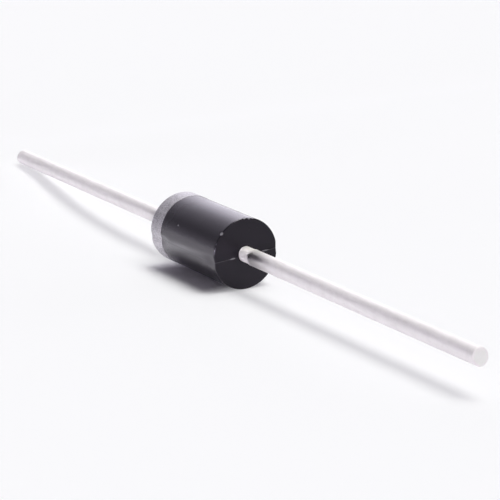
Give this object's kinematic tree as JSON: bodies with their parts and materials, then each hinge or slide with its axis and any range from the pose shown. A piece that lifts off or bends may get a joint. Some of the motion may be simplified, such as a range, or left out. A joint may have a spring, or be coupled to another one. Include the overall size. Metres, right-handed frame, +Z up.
{
  "type": "axial-lead rectifier diode",
  "caption": "Axial diode: black moulded round body with a silver-grey cathode band, on a straight tinned wire lead at each end.",
  "frame": {"origin": "middle of the moulded body, on the leads' common axis", "axes": "+X along the anode lead, away from the body; the banded cathode end is at -X; +Z up, with the diode lying on its side"},
  "size_m": [0.065, 0.0054, 0.0054],
  "materials": {
    "moulded_epoxy": "black moulded epoxy, satin round the side and dull on the ends",
    "band_ink": "silver-grey printed ink with a fine metallic grain",
    "tinned_copper": "satin tin on copper wire, duller where it leaves the body",
    "silicon": "dark polished silicon",
    "solder": "dull solder",
    "silicone": "white junction coating"
  },
  "bodies": {
    "root": {"moulded_body": "moulded_epoxy", "cathode_band": "band_ink", "anode_lead": "tinned_copper", "cathode_lead": "tinned_copper", "junction_chip": "silicon", "anode_solder": "solder", "cathode_solder": "solder", "junction_coating": "silicone"}
  },
  "joints": []
}
